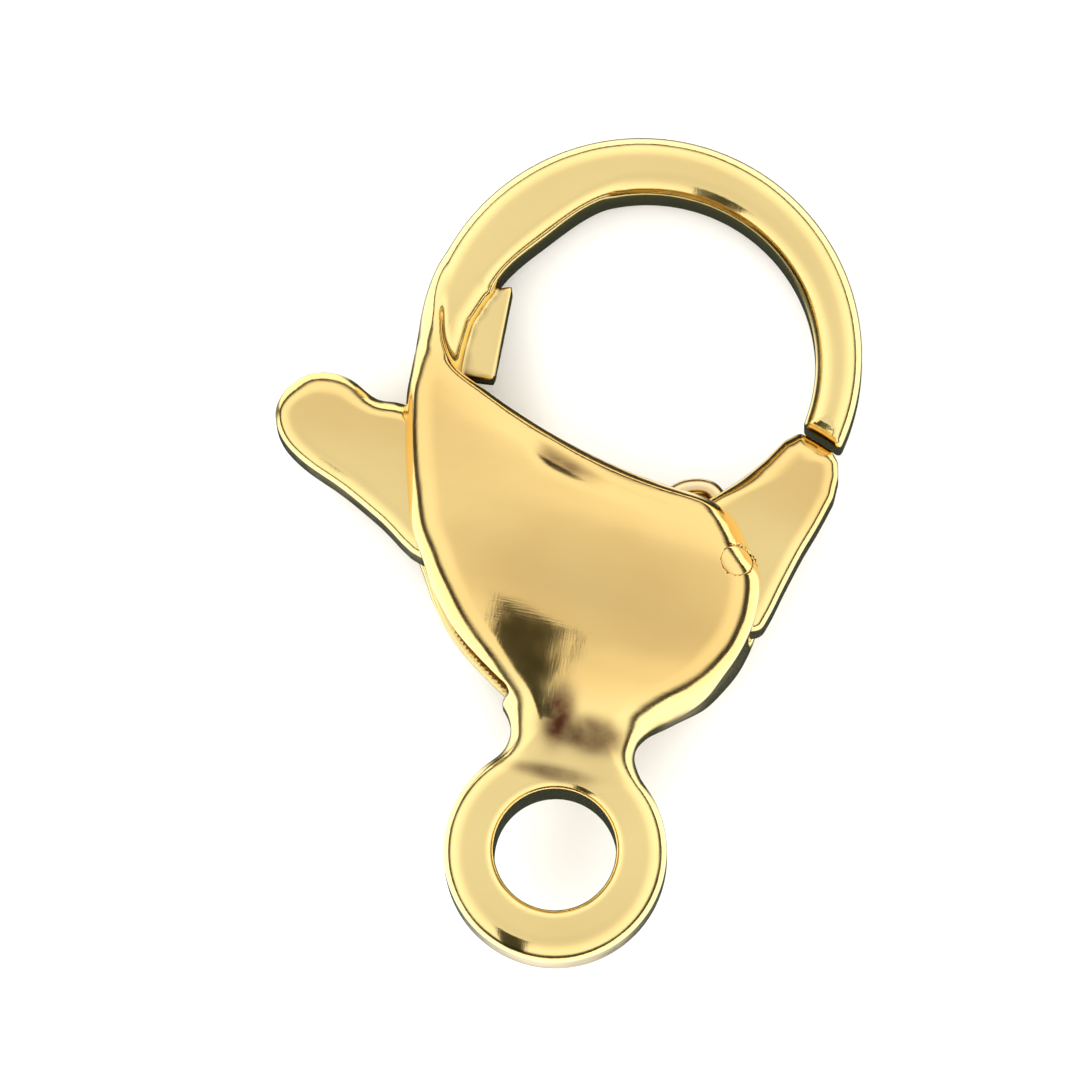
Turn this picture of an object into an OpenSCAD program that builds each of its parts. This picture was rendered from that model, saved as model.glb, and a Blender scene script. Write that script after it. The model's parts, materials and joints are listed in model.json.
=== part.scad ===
// Lobster clasp as it lies on its back by itself.
// The centre of the ring's hole is the origin. The hook lies towards +Y and touches the surface
// with its far edge, the back of the body touches it too, and the ring stands off it.
// The thumb tab is on the -X side and the nose that closes the hook on the +X side.
// Each piece is drawn flat in the XY plane with its front facing +Z, and is then laid down.

/* [Ring] */
// Outer diameter of the ring
ring_d = 3.2; // [2.8:0.05:3.8]
// Diameter of the hole in the ring
ring_hole_d = 1.75; // [1.2:0.05:2]
// Thickness of the ring and of the hook
metal_t = 1.25; // [1.1:0.05:1.5]

/* [Hook] */
// Outer diameter of the hook
hook_d = 6.35; // [6:0.05:6.8]
// Diameter of the opening inside the hook
opening_d = 4.85; // [4.5:0.05:5]
// Distance from the ring's centre to the hook's centre
reach = 7.3; // [6.8:0.05:8]
// How far the hook's centre lies to the left of the ring's
hook_shift = 0.2; // [0:0.05:0.4]
// How far the opening's centre lies to the right of the hook's
opening_shift = 0.1; // [0:0.05:0.2]
// Height of the flat rib on the hook's inner wall
rib_t = 0.55; // [0.3:0.05:0.8]

/* [Body] */
// Width of the body
body_w = 5.6; // [5.2:0.05:6]
// Thickness of the body at its crest
body_t = 3.3; // [3:0.05:3.8]
// Thickness of the body at its rim
rim_t = 2.05; // [1.9:0.05:2.4]
// Exponent of the crown across the body, larger is flatter
crown = 4; // [2.4:0.2:5]

/* [Gate] */
// Thickness of the gate
gate_t = 1.2; // [1:0.05:1.25]
// Length of the thumb side, from the pivot to the end of the tab
tab_reach = 6.95; // [6.6:0.05:7.3]
// Angle that the gate opens by
gate_travel = 30; // [20:1:32]
// Gap between the gate's nose and the hook's end
nose_gap = 0.06; // [0.04:0.01:0.1]
// Gap on each side of the gate in its slot
slot_gap = 0.05; // [0.03:0.01:0.08]
// Depth of the hollow in the back of the tab
hollow_depth = 0.5; // [0.2:0.05:0.7]

/* [Pivot] */
// Diameter of the pivot pin
pin_d = 0.44; // [0.36:0.02:0.56]
// Running gap between the pin and the gate's bore
pin_play = 0.03; // [0.02:0.01:0.05]
// Gap between the pin and the body's bores
pin_seat = 0.01; // [0.01:0.01:0.02]

/* [Spring] */
// Diameter of the spring's wire
wire_d = 0.3; // [0.24:0.02:0.36]
// Gap on each side of the wire in the gate's groove
groove_gap = 0.06; // [0.04:0.01:0.08]
// Gap between the end of the wire and the wall of its room
wire_gap = 0.06; // [0.04:0.01:0.1]

/* [Hidden] */
gold = "goldenrod";
steel = "silver";
$fn = 48;
more = 1;

// Pivot of the gate, as shares of the body's width and of the reach
pivot = [0.315 * body_w, 0.614 * reach];
hook_c = [-hook_shift, reach];
opening_c = hook_c + [opening_shift, -opening_shift];
slot_t = gate_t + 2 * slot_gap;
groove_t = wire_d + 2 * groove_gap;
// Rounding of the outer edges of the ring and of the hook
ease = 0.25 * metal_t;

// Rows across the body, from inside the ring to the mouth under the hook:
// [y and x on the left, y and x on the right, sag of the row, rim, crest, lean]
// Y and sag are shares of reach, x of body_w. Rim runs from 0 at metal_t to 1 at rim_t,
// crest from 0 at the rim to 1 at body_t, and lean above 1 moves the crest to the right.
ROWS = [
    [0.17, -0.13, 0.17, 0.13, 0.00, -0.2, 0.00, 1.0],
    [0.22, -0.18, 0.22, 0.18, 0.00, 0.03, 0.05, 1.0],
    [0.25, -0.22, 0.25, 0.20, 0.00, 0.15, 0.28, 1.0],
    [0.30, -0.28, 0.30, 0.25, 0.00, 0.45, 0.48, 1.0],
    [0.36, -0.35, 0.36, 0.31, 0.00, 0.85, 0.67, 1.0],
    [0.42, -0.41, 0.42, 0.35, 0.00, 1.00, 0.85, 1.0],
    [0.48, -0.46, 0.48, 0.38, 0.00, 1.00, 0.95, 1.0],
    [0.55, -0.51, 0.54, 0.39, 0.00, 1.00, 1.00, 1.0],
    [0.64, -0.55, 0.60, 0.38, 0.00, 1.00, 0.96, 1.1],
    [0.73, -0.58, 0.65, 0.34, 0.01, 1.00, 0.82, 1.2],
    [0.82, -0.60, 0.685, 0.31, 0.02, 0.90, 0.61, 1.3],
    [0.87, -0.60, 0.70, 0.29, 0.035, 0.65, 0.42, 1.4],
    [0.91, -0.60, 0.715, 0.275, 0.045, 0.35, 0.26, 1.5],
    [0.945, -0.59, 0.725, 0.27, 0.05, 0.03, 0.06, 1.5],
];
// Steps across each row, and from one row to the next
ACROSS = 22;
STEPS = 3;

// Share of the crown's height above which the body is polished flat
FLAT_FROM = 0.985;
// Exponent that fills the crown out towards the rims, smaller is fuller
FULLNESS = 0.6;

// Half thickness of the body at share s across row r
function rim(r) = (metal_t + r[5] * (rim_t - metal_t)) / 2;
function bow(s, lean) =
    min(1, pow(1 - pow(abs(2 * pow(s, lean) - 1), crown), FULLNESS) / FLAT_FROM);
function half_t(r, s) = rim(r) + r[6] * (body_t / 2 - rim(r)) * bow(s, r[7]);

// Place of share s across row r in plan. Shares gather towards the two rims.
function place(r, s) = [
    body_w * (r[1] + (r[3] - r[1]) * s),
    reach * (r[0] + (r[2] - r[0]) * s - 4 * r[4] * s * (1 - s)),
];
function spread(i) = (1 - cos(180 * i / ACROSS)) / 2;

// One closed ring of points round row r, over the front and back along the rear
function section(r) = concat(
    [for (i = [0 : ACROSS]) let (s = spread(i)) concat(place(r, s), half_t(r, s))],
    [for (i = [ACROSS : -1 : 0]) let (s = spread(i)) concat(place(r, s), -half_t(r, s))]
);

// Skin over a list of closed rings that have the same number of points. Each end is closed
// by strips between the points that face each other.
module skin(rings) {
    n = len(rings[0]);
    last = len(rings) - 1;
    sides = [
        for (j = [0 : last - 1], i = [0 : n - 1])
            let (a = j * n + i, b = j * n + (i + 1) % n)
                for (face = [[a, a + n, b], [b, a + n, b + n]]) face
    ];
    strips = [for (i = [0 : n / 2 - 2]) [i, i + 1, n - 2 - i, n - 1 - i]];
    start = [for (q = strips) each [[q[0], q[1], q[3]], [q[1], q[2], q[3]]]];
    end = [for (q = strips) each [[q[3], q[1], q[0]] + last * n * [1, 1, 1],
                                  [q[3], q[2], q[1]] + last * n * [1, 1, 1]]];
    polyhedron([for (ring = rings) each ring], concat(start, sides, end));
}

// Row at step k of STEPS between row j and the next, on a smooth curve through the rows
function between(j, k) =
    let (
        t = k / STEPS,
        a = ROWS[max(j - 1, 0)],
        b = ROWS[j],
        c = ROWS[min(j + 1, len(ROWS) - 1)],
        d = ROWS[min(j + 2, len(ROWS) - 1)]
    )
    b + (c - a) * t / 2 + (2 * a - 5 * b + 4 * c - d) * t * t / 2
        + (3 * b - a - 3 * c + d) * t * t * t / 2;

FINE_ROWS = [
    for (j = [0 : len(ROWS) - 2], k = [0 : STEPS - 1]) between(j, k),
    ROWS[len(ROWS) - 1],
];

// The pillow of the body, from the ring to the mouth
module pillow() {
    skin([for (r = FINE_ROWS) section(r)]);
}

// Round plate with eased edges, as the ring and the hook are
module eased_plate(d) {
    corner = [for (a = [0 : 30 : 90]) ease * [sin(a) - 1, cos(a) - 1]];
    top = [for (c = corner) [d / 2, metal_t / 2] + c];
    bottom = [for (i = [len(top) - 1 : -1 : 0]) [top[i][0], -top[i][1]]];
    rotate_extrude() polygon(concat([[0, metal_t / 2]], top, bottom, [[0, -metal_t / 2]]));
}

// Slope of the surface that touches the far edge of the hook and the crest of the back
hook_foot = [reach + hook_d / 2 - ease, metal_t / 2];
function crest(r) = let (s = pow(0.5, 1 / r[7])) [place(r, s)[1], half_t(r, s)];
rest_tilt = max([
    for (r = FINE_ROWS)
        let (c = crest(r))
            atan((c[1] - hook_foot[1]) / (hook_foot[0] - c[0]))
]);
module lie_down() {
    rotate([-rest_tilt, 0, 0]) children();
}

// The nose meets the hook's end on an arc about the pivot
hook_end_angle = -14;
tip_at = hook_c + (hook_d + opening_d) / 4 * [cos(hook_end_angle), sin(hook_end_angle)];
nose_reach = norm(tip_at - pivot) - nose_gap;

module hook() {
    difference() {
        translate(hook_c) eased_plate(hook_d);
        translate(opening_c) cylinder(h = metal_t + more, d = opening_d, center = true);
        translate(pivot) cylinder(h = metal_t + more, r = nose_reach + nose_gap, center = true);
    }
}

// Flat rib left standing on the left of the hook's inner wall, as shares of the opening
module rib() {
    r = opening_d / 2;
    translate([opening_c[0], opening_c[1], -rib_t / 2])
        linear_extrude(rib_t)
            polygon([[-1.08, 0.40], [-0.84, 0.38], [-0.955, -0.38], [-1.12, -0.38]] * r);
}

// Outline of the gate about its pivot. The nose side holds shares of nose_reach,
// from its inner corner down the outside to the heel.
NOSE = [
    [0.505, 0.83], [0.525, 0.74], [0.52, 0.60], [0.46, 0.40], [0.39, 0.20],
    [0.32, -0.04], [0.26, -0.26], [0.20, -0.36], [0.00, -0.39], [-0.22, -0.36],
];
// The arm and the tab hold shares of tab_reach, under the arm, round the tab and back
TAB = [
    [-0.17, -0.09], [-0.28, -0.07], [-0.40, -0.06], [-0.51, -0.08], [-0.64, -0.10],
    [-0.74, -0.04], [-0.83, 0.01], [-0.92, 0.05], [-0.975, 0.09], [-1.00, 0.14],
    [-0.99, 0.19], [-0.955, 0.23], [-0.91, 0.245], [-0.86, 0.24], [-0.80, 0.21],
    [-0.74, 0.21], [-0.64, 0.18], [-0.51, 0.12], [-0.38, 0.075], [-0.26, 0.055],
    [-0.16, 0.07],
];
// Inner side of the nose, up to its tip, in shares of nose_reach
NOSE_INSIDE = [[-0.35, 0.36], [-0.12, 0.57], [0.04, 0.76], [0.13, 0.90]];
// Angles about the pivot that the tip's arc runs through
TIP_ANGLES = [77 : -2 : 63];

module gate_outline() {
    tip = [for (a = TIP_ANGLES) nose_reach * [cos(a), sin(a)]];
    polygon(concat(tip, NOSE * nose_reach, TAB * tab_reach, NOSE_INSIDE * nose_reach));
}

// Room for the wire in the middle of the gate, in shares of nose_reach
module groove() {
    translate([0, 0, -groove_t / 2])
        linear_extrude(groove_t)
            polygon([[-0.60, 0.12], [-0.60, 0.55], [-0.12, 0.78], [0.22, 0.60], [0.22, 0.30]]
                * nose_reach);
}

// Three-cornered hollow in the back of the tab, in shares of tab_reach
module hollow() {
    translate([0, 0, -gate_t / 2 - more])
        linear_extrude(hollow_depth + more)
            polygon([[-0.93, 0.13], [-0.91, 0.185], [-0.85, 0.185], [-0.74, 0.10], [-0.76, 0.06]]
                * tab_reach);
}

// The slot lets the gate swing through all its travel, with the slot gap round it
module slot() {
    translate([0, 0, -slot_t / 2])
        linear_extrude(slot_t) {
            translate(pivot)
                offset(delta = slot_gap)
                    for (a = [0 : gate_travel / 10 : gate_travel]) rotate(a) gate_outline();
            spring_room();
        }
}

// Opening of the slot under the hook, where the spring lies, in shares of reach and body_w
room_left = -0.22 * body_w;
module spring_room() {
    polygon([
        [room_left, 0.69 * reach],
        [room_left, 0.95 * reach],
        [0.32 * body_w, 0.95 * reach],
        [0.32 * body_w, 0.64 * reach],
        [0.05 * body_w, 0.62 * reach],
    ]);
}

module body() {
    color(gold)
        lie_down()
            difference() {
                union() {
                    hook();
                    rib();
                    pillow();
                    eased_plate(ring_d);
                }
                slot();
                cylinder(h = metal_t + more, d = ring_hole_d, center = true);
                translate(pivot)
                    cylinder(h = body_t + more, d = pin_d + 2 * pin_seat, center = true);
            }
}

module gate() {
    color(gold)
        lie_down()
            translate(pivot)
                difference() {
                    translate([0, 0, -gate_t / 2]) linear_extrude(gate_t) gate_outline();
                    cylinder(h = gate_t + more, d = pin_d + 2 * pin_play, center = true);
                    groove();
                    hollow();
                }
}

// The pin's ends follow the body's skin
module pivot_pin() {
    color(steel)
        lie_down()
            intersection() {
                translate(pivot) cylinder(h = body_t + more, d = pin_d, center = true);
                pillow();
            }
}

// Route of the wire about the pivot, from the wall of its room into the nose.
// X is in shares of the wire's length to the wall, y in shares of nose_reach.
wire_l = pivot[0] - room_left - wire_gap;
WIRE = [
    [-1.00, 0.38], [-0.77, 0.31], [-0.55, 0.29], [-0.38, 0.36], [-0.27, 0.45],
    [-0.20, 0.46], [-0.13, 0.39], [-0.03, 0.33], [0.10, 0.35],
];
WIRE_SIDES = 10;

function along(p, i) = let (n = len(p) - 1) p[min(i + 1, n)] - p[max(i - 1, 0)];
function round_section(c, dir, d) = let (e = dir / norm(dir)) [
    for (k = [0 : WIRE_SIDES - 1])
        let (a = 360 * k / WIRE_SIDES)
            [c[0] - e[1] * d / 2 * cos(a), c[1] + e[0] * d / 2 * cos(a), d / 2 * sin(a)]
];

module spring() {
    path = [for (p = WIRE) [wire_l * p[0], nose_reach * p[1]]];
    color(steel)
        lie_down()
            translate(pivot)
                skin([
                    for (i = [0 : len(path) - 1])
                        round_section(path[i], along(path, i), wire_d)
                ]);
}

body();
gate();
pivot_pin();
spring();
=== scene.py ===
import json
import math

import bpy
import numpy as np
from mathutils import Matrix, Vector


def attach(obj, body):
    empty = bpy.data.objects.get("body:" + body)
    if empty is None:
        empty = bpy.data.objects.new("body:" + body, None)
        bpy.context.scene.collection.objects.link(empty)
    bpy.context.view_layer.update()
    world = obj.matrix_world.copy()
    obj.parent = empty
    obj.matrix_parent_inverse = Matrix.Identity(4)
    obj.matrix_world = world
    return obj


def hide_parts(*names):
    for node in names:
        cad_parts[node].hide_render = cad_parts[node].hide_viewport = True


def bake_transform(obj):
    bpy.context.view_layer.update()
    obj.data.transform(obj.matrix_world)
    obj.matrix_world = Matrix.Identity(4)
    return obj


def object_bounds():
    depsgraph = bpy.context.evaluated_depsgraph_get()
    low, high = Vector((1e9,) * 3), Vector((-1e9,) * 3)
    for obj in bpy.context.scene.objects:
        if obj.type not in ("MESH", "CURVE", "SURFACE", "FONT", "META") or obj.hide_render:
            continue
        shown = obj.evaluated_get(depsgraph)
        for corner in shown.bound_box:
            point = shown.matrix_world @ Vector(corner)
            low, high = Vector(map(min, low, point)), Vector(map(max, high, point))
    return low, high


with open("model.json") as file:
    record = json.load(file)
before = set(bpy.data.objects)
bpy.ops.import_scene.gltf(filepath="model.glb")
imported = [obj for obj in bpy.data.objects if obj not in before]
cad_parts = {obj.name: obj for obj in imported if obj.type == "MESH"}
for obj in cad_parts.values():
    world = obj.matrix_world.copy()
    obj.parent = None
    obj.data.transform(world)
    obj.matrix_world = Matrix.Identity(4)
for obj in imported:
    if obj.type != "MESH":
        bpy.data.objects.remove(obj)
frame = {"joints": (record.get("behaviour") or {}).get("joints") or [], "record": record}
cad_low, cad_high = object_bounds()

# Sizes in millimetres, in the clasp's own flat frame: the ring's centre is the origin,
# the hook lies towards +Y and the front faces +Z.
MM = 0.001
joint = frame["joints"][0]
ring_mount = next(m for m in frame["record"]["mounts"] if m["name"] == "ring_hole")
REST_TILT = math.atan2(joint["axis"][1], joint["axis"][2])

# Ring and hook
RING_D = 3.2
RING_HOLE_D = 2 * ring_mount["dims"]["r_mm"]
METAL_T = ring_mount["dims"]["length_mm"]
HOOK_D = 6.35
OPENING_D = 4.85
REACH = 7.3
HOOK_C = np.array([-0.2, REACH])
OPENING_C = HOOK_C + [0.1, -0.1]
HOOK_END = math.radians(-14)
TIP_AT = HOOK_C + (HOOK_D + OPENING_D) / 4 * np.array([math.cos(HOOK_END), math.sin(HOOK_END)])
RIB_T = 0.55

# Body, gate, pin and spring
BODY_W = 5.6
BODY_T = 3.3
RIM_T = 2.05
GATE_T = 1.2
TAB_REACH = 6.95
TRAVEL = max(joint["range_deg"])
NOSE_GAP = 0.06
SLOT_GAP = 0.05
SLOT_T = GATE_T + 2 * SLOT_GAP
HOLLOW_DEPTH = 0.5
PIN_D = 0.44
PIN_PLAY = 0.03
PIN_FIT = 0.003
WIRE_D = 0.3
GROOVE_GAP = 0.06
GROOVE_T = WIRE_D + 2 * GROOVE_GAP
WALL_GAP = 0.06

# Rounding of edges, and fillets where forms meet
HOOK_EDGE = 0.33
HOOK_END_EDGE = 0.1
OPENING_CORNER = 0.1
RING_EDGE = 0.33
HOLE_EDGE = 0.15
RIB_EDGE = 0.05
SHOULDER_R = 0.46
MOUTH_R = 0.13
SLOT_CORNER = 0.16
SLOT_EDGE = 0.11
HOOK_FILLET = 0.12
RING_FILLET = 0.4
RIB_FILLET = 0.04
GATE_EDGE = 0.28
BEVEL_EDGE = 0.1
GROOVE_EDGE = 0.04
HOLLOW_EDGE = 0.06
BORE_EDGE = 0.03


def to_flat(point):
    """A point of the frame, in metres, in the clasp's flat frame in millimetres."""
    x, y, z = (value / MM for value in point)
    c, s = math.cos(REST_TILT), math.sin(REST_TILT)
    return np.array([x, y * c - z * s, y * s + z * c])


def to_frame(points):
    """Points of the flat frame, in millimetres, laid down as the clasp rests, in metres."""
    c, s = math.cos(REST_TILT), math.sin(REST_TILT)
    turn = np.array([[1, 0, 0], [0, c, s], [0, -s, c]])
    return np.asarray(points) @ turn.T * MM


PIVOT = to_flat(joint["pos_m"])[:2]
NOSE_REACH = np.linalg.norm(TIP_AT - PIVOT) - NOSE_GAP

# Rows across the body, from inside the ring to the mouth under the hook. Y and sag are
# shares of REACH, x of BODY_W. Rim says how far the row's ends have grown from METAL_T to
# RIM_T, and crest how far its middle has grown from there to BODY_T. Lean moves the crest
# to the right.
Y_LEFT, X_LEFT, Y_RIGHT, X_RIGHT, SAG, RIM, CREST, LEAN = range(8)
ROWS = np.array([
    [0.17, -0.14, 0.17, 0.13, 0.00, -0.20, 0.00, 1.0],
    [0.22, -0.17, 0.22, 0.14, 0.00, 0.00, 0.04, 1.0],
    [0.26, -0.20, 0.26, 0.165, 0.00, 0.08, 0.13, 1.0],
    [0.305, -0.27, 0.295, 0.22, 0.00, 0.30, 0.25, 1.0],
    [0.375, -0.365, 0.345, 0.295, 0.00, 0.72, 0.46, 1.0],
    [0.445, -0.43, 0.395, 0.335, 0.00, 0.96, 0.72, 1.0],
    [0.505, -0.475, 0.455, 0.37, 0.00, 1.00, 0.93, 1.0],
    [0.565, -0.52, 0.525, 0.388, 0.00, 1.00, 1.00, 1.0],
    [0.64, -0.55, 0.60, 0.38, 0.00, 1.00, 0.96, 1.1],
    [0.73, -0.58, 0.65, 0.34, 0.01, 1.00, 0.83, 1.2],
    [0.82, -0.60, 0.68, 0.315, 0.02, 0.97, 0.70, 1.3],
    [0.87, -0.602, 0.70, 0.30, 0.035, 0.93, 0.60, 1.4],
    [0.91, -0.603, 0.718, 0.285, 0.048, 0.82, 0.53, 1.5],
    [0.945, -0.602, 0.732, 0.275, 0.056, 0.66, 0.47, 1.5],
])
ROW_STEPS = 8
# How sharply the dome falls off towards the ends of a row, the share of it that stays
# there, and the y over which that share comes in above the neck
CROWN = 2.4
END_SHARE = 0.44
END_SHARE_FROM = (0.3, 0.5)

# The crease beside the tongue by which the body's left shoulder runs out along the hook's
# outer edge, down to where it turns into the mouth's edge. The tongue begins to sink at a
# share of the way up to the last row. At TONGUE_END it lies in the hook's face, at a share
# of the hook's thickness.
CREASE = np.array([
    [-3.36, 9.0], [-3.27, 8.3], [-3.18, 7.7], [-3.09, 7.2], [-2.97, 6.82],
])
TONGUE_START = 0.9
TONGUE_END = 8.7
TONGUE_SINK = 0.93
# Angles along the hook's outer edge that the tongue follows
HOOK_SIDE = np.radians(np.arange(184, 130, -3))
# The mouth's edge follows a stretch of the last row and turns down at its right end.
# Corners outside the clasp close the outline below it.
MOUTH_SPAN = (0.13, 0.9)
MOUTH_CORNER = np.array([[1.42, 5.27], [1.69, 5.15], [1.94, 4.88], [2.14, 4.53], [2.55, 4.0]])
BELOW_MOUTH = np.array([[4, -3], [-4.5, -3], [-4.5, 9]])

# The shallow groove below the mouth's edge: how far below it runs, its width, where it
# starts, and the depths that it adds up and where each has faded out, as shares of the row
DIP_IN = 0.34
DIP_WIDTH = 0.13
DIP_START = (0.35, 0.44)
DIP_PARTS = [(0.03, (0.95, 0.75)), (0.06, (0.62, 0.46))]

# The straight stretch of the hook's opening, and the rib on the hook's inner side
CHORD_FROM = np.array([-2.27, 8.23])
CHORD_TO = np.array([-1.04, 9.63])
RIB = np.array([[-3.0, 7.6], [-2.5, 7.84], [-2.2, 7.95], [-2.2, 6.55], [-3.0, 6.5]])
RIB_POCKET = np.array([
    [-2.2, 8.0], [-2.5, 7.7], [-2.66, 7.3], [-2.7, 6.9], [-2.7, 6.3], [-1.8, 6.3], [-1.8, 8.0],
])

# Outline of the gate about its pivot, in shares of NOSE_REACH and of TAB_REACH
TIP_ANGLES = np.radians(np.arange(77, 62, -2))
NOSE = np.array([
    [0.505, 0.83], [0.525, 0.74], [0.52, 0.60], [0.46, 0.40], [0.39, 0.20],
    [0.32, -0.04], [0.26, -0.26], [0.20, -0.36], [0.00, -0.39], [-0.22, -0.36],
])
TAB = np.array([
    [-0.17, -0.09], [-0.28, -0.07], [-0.40, -0.06], [-0.51, -0.08], [-0.64, -0.10],
    [-0.74, -0.04], [-0.83, 0.01], [-0.92, 0.05], [-0.975, 0.09], [-1.00, 0.14],
    [-0.99, 0.19], [-0.955, 0.23], [-0.91, 0.245], [-0.86, 0.24], [-0.80, 0.21],
    [-0.74, 0.21], [-0.64, 0.18], [-0.51, 0.12], [-0.38, 0.075], [-0.26, 0.055],
    [-0.16, 0.07],
])
NOSE_INSIDE = np.array([[-0.35, 0.36], [-0.12, 0.57], [0.04, 0.76], [0.13, 0.90]])
GROOVE = np.array([[-0.60, 0.12], [-0.60, 0.55], [-0.12, 0.78], [0.22, 0.60], [0.22, 0.30]])
HOLLOW = np.array([[-0.93, 0.13], [-0.91, 0.185], [-0.85, 0.185], [-0.74, 0.10], [-0.76, 0.06]])
# The bevel along the nose's inner edge. Its plane leans by BEVEL_Z and BEVEL_IN and lies
# BEVEL_OFF outside the gate's edge. Beside the inner edge, and from the arm on towards the
# tip, it comes in by BEVEL_DEPTH.
BEVEL_Z = 0.8
BEVEL_IN = 0.6
BEVEL_OFF = 0.1
BEVEL_DEPTH = 0.24
BEVEL_ACROSS = (1.0, 0.4)
BEVEL_ALONG = (0.5, 1.5)

# The spring's room in the body, the line of its wire about the pivot, and the angles at
# which the wire's round ends have a ring
ROOM = np.array([[-0.22, 0.69], [-0.22, 0.95], [0.32, 0.95], [0.32, 0.64], [0.05, 0.62]])
WIRE = np.array([
    [-1.00, 0.38], [-0.77, 0.31], [-0.57, 0.30], [-0.42, 0.39], [-0.32, 0.49],
    [-0.22, 0.51], [-0.14, 0.43], [-0.03, 0.34], [0.10, 0.35],
])
WIRE_ENDS = np.radians([80, 60, 40, 20])
WIRE_SIDES = 20

# The pin's ends: rings as shares of its radius, each with its drop below the flush height
PIN_RINGS = [(0.0, 0.0), (0.35, 0.0), (0.65, 0.0), (0.85, 0.0005), (0.96, 0.0015), (1.0, 0.005)]
PIN_PROUD = 0.002
PIN_SIDES = 40
# The body's skin is looked for from this height up, in so many halvings
SKIN_FROM = SLOT_T / 2 + 0.05
HALVINGS = 30
# Points of the skin round the pin: how far from it, how near the surface, and how far above
# the slot they lie
PIN_ROUND = 0.12
PIN_ROUND_OFF = 0.012
PIN_ROUND_ABOVE = 0.1

# Grids: the box and step of each plan map and of each mesh, and how many places of the
# gate make up its sweep
MAP_STEP = 0.04
BODY_PLAN = ((-5.0, -2.4), (4.0, 11.2))
BODY_BOX = ((-3.75, -1.85, -1.85), (3.2, 10.7, 1.85))
BODY_STEP = 0.05
GATE_PLAN = ((-7.6, -3.4), (2.4, 3.4))
GATE_BOX = ((-7.2, -1.1, -0.8), (1.5, 2.5, 0.8))
GATE_STEP = 0.04
SWEEP_STEPS = 16
# Reach of a slope, and the longest move of a point at a time, as shares of a mesh's step
SLOPE_REACH = 0.3
MOVE_MOST = 0.7

# Curvature, per millimetre, at which wear starts and the span to full wear, and the
# distances from the surface at which a crevice is felt for
WEAR_FROM = 0.8
WEAR_SPAN = 4
CREVICE_PROBES = (0.12, 0.3, 0.6)
# Painted dark reflection and shade, with some oxide, on the neck and beside the ring's hole: middle,
# spread and strength of each spot
PAINTED_SHADE_AND_OXIDE_SPOTS = [
    ((-0.32, 1.88), (0.24, 0.46), 0.95),
    ((0.20, 1.68), (0.48, 0.27), 0.90),
    ((-0.25, 1.06), (0.58, 0.12), 0.72),
]
# Painted shade in the shallow groove: strength, width, and the x where it starts and ends
DIP_PAINTED_SHADE = 0.8
DIP_PAINTED_SHADE_WIDTH = 0.1
DIP_PAINTED_SHADE_FROM = (-1.45, -1.1)
DIP_PAINTED_SHADE_TO = (-0.2, -0.9)
# Painted shade: heights over which it deepens the body's colour, its share on the tab, what the nose
# adds to it, and the y over which it does
BODY_PAINTED_SHADE = (0.72, 1.2)
TAB_PAINTED_SHADE = 0.3
NOSE_PAINTED_SHADE = 0.6
NOSE_PAINTED_SHADE_FROM = (0.3, 1.2)
PIN_PAINTED_SHADE = 0.8


# Curves and outlines

def curve_through(points, steps):
    """Points on a smooth curve through the given ones, with so many steps between two."""
    last = len(points) - 1
    out = []
    for i in range(last):
        a, b, c, d = (points[min(max(i + k, 0), last)] for k in (-1, 0, 1, 2))
        for t in np.arange(steps) / steps:
            out.append(
                b + (c - a) * t / 2 + (2 * a - 5 * b + 4 * c - d) * t * t / 2
                + (3 * b - a - 3 * c + d) * t ** 3 / 2
            )
    out.append(points[-1])
    return np.array(out)


def outline_distance(points, outline):
    """Distance of plan points to a closed outline, negative inside it."""
    nearest = np.full(len(points), np.inf)
    inside = np.zeros(len(points), bool)
    for a, b in zip(outline, np.roll(outline, -1, axis=0)):
        edge = b - a
        away = points - a
        share = np.clip(away @ edge / max(edge @ edge, 1e-12), 0, 1)
        gap = away - share[:, None] * edge
        nearest = np.minimum(nearest, np.einsum("ij,ij->i", gap, gap))
        if a[1] != b[1]:
            crosses = (a[1] > points[:, 1]) != (b[1] > points[:, 1])
            at = a[0] + (points[:, 1] - a[1]) * edge[0] / edge[1]
            inside ^= crosses & (points[:, 0] < at)
    return np.sqrt(nearest) * np.where(inside, -1, 1)


# Maps of plan values, read smoothly anywhere

class PlanMap:
    """Values on a square grid over the plan, read between the points with a cubic B-spline."""

    def __init__(self, low, high, step, layers):
        self.low = np.array(low, float)
        self.step = step
        self.count = np.ceil((np.array(high) - low) / step).astype(int) + 1
        x, y = (self.low[i] + step * np.arange(self.count[i]) for i in (0, 1))
        grid = np.stack(np.meshgrid(x, y, indexing="ij"), axis=-1).reshape(-1, 2)
        self.layers = [layer(grid).reshape(self.count) for layer in layers]

    def read(self, points):
        """All layers at the points. A place outside the map reads as the nearest one in it."""
        place = (points - self.low) / self.step
        place = np.clip(place, 1, self.count - 3.001)
        cell = place.astype(int)
        weights = [self.weights(place[:, i] - cell[:, i]) for i in (0, 1)]
        found = [np.zeros(len(points)) for _ in self.layers]
        for i in range(4):
            for j in range(4):
                share = weights[0][i] * weights[1][j]
                for k, layer in enumerate(self.layers):
                    found[k] += share * layer[cell[:, 0] + i - 1, cell[:, 1] + j - 1]
        return found

    @staticmethod
    def weights(t):
        return [
            (1 - t) ** 3 / 6,
            (3 * t ** 3 - 6 * t ** 2 + 4) / 6,
            (-3 * t ** 3 + 3 * t ** 2 + 3 * t + 1) / 6,
            t ** 3 / 6,
        ]


# Solids as fields: negative inside, and in millimetres away from the surface

def join(a, b, fillet):
    """Both solids together, with a fillet where they meet."""
    u = np.maximum(fillet - a, 0)
    v = np.maximum(fillet - b, 0)
    return np.maximum(fillet, np.minimum(a, b)) - np.sqrt(u * u + v * v)


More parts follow.
